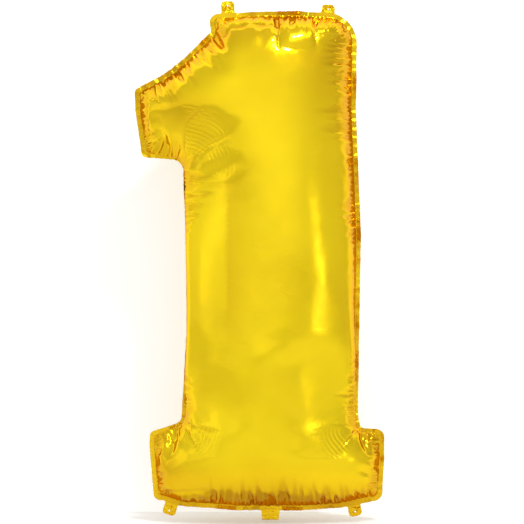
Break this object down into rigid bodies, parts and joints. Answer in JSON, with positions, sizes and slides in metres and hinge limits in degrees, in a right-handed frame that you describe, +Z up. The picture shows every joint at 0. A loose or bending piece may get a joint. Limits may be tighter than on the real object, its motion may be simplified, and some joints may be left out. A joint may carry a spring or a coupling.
{
  "type": "foil number balloon",
  "caption": "Inflated metallised-film balloon in the shape of the figure one, with a heat-sealed flange, corner hanging tabs and a self-closing inflation tail.",
  "frame": {"origin": "middle of the bounding box in X and Y, at its lowest point, the tip of the inflation tail", "axes": "+Z up along the figure, -Y out of the front skin, +X to the right as the figure is read; the seam lies in the plane Y = 0"},
  "size_m": [0.4356, 0.2184, 0.9046],
  "materials": {
    "gold_foil": "polished metallised film with a satin sheen",
    "valve_film": "translucent polyethylene film"
  },
  "bodies": {
    "envelope": {"front_foil_panel": "gold_foil", "rear_foil_panel": "gold_foil"},
    "tab_top_left": {"hanging_tab_top_left": "gold_foil"},
    "tab_top_right": {"hanging_tab_top_right": "gold_foil"},
    "tab_bottom_left": {"hanging_tab_bottom_left": "gold_foil"},
    "tab_bottom_right": {"hanging_tab_bottom_right": "gold_foil"},
    "tail": {"inflation_tail_front": "gold_foil", "inflation_tail_rear": "gold_foil"},
    "valve_front": {"valve_film_front": "valve_film"},
    "valve_rear": {"valve_film_rear": "valve_film"}
  },
  "joints": [
    {"name": "tab_top_left_fold", "type": "hinge", "parent": "envelope", "child": "tab_top_left", "pos_m": [-0.05454, 0, 0.8835], "axis": [0.9987, 0, 0.0507], "range_deg": [-90, 90], "stiffness_Nm_per_rad": 0.001},
    {"name": "tab_top_right_fold", "type": "hinge", "parent": "envelope", "child": "tab_top_right", "pos_m": [0.11954, 0, 0.88392], "axis": [0.9981, 0, -0.0608], "range_deg": [-90, 90], "stiffness_Nm_per_rad": 0.001},
    {"name": "tab_bottom_left_fold", "type": "hinge", "parent": "envelope", "child": "tab_bottom_left", "pos_m": [-0.15282, 0, 0.02864], "axis": [-0.9517, 0, 0.3071], "range_deg": [-90, 90], "stiffness_Nm_per_rad": 0.001},
    {"name": "tab_bottom_right_fold", "type": "hinge", "parent": "envelope", "child": "tab_bottom_right", "pos_m": [0.16464, 0, 0.02536], "axis": [-0.9804, 0, -0.1972], "range_deg": [-90, 90], "stiffness_Nm_per_rad": 0.001},
    {"name": "tail_fold", "type": "hinge", "parent": "envelope", "child": "tail", "pos_m": [0.0194, 0, 0.0153], "axis": [1, 0, 0], "range_deg": [-90, 90], "stiffness_Nm_per_rad": 0.001},
    {"name": "valve_front_open", "type": "hinge", "parent": "envelope", "child": "valve_front", "pos_m": [0.0194, -0.0004, 0.0312], "axis": [1, 0, 0], "range_deg": [0, 6], "stiffness_Nm_per_rad": 0.004},
    {"name": "valve_rear_open", "type": "hinge", "parent": "envelope", "child": "valve_rear", "pos_m": [0.0194, 0.0004, 0.0312], "axis": [1, 0, 0], "range_deg": [-6, 0], "stiffness_Nm_per_rad": 0.004}
  ]
}
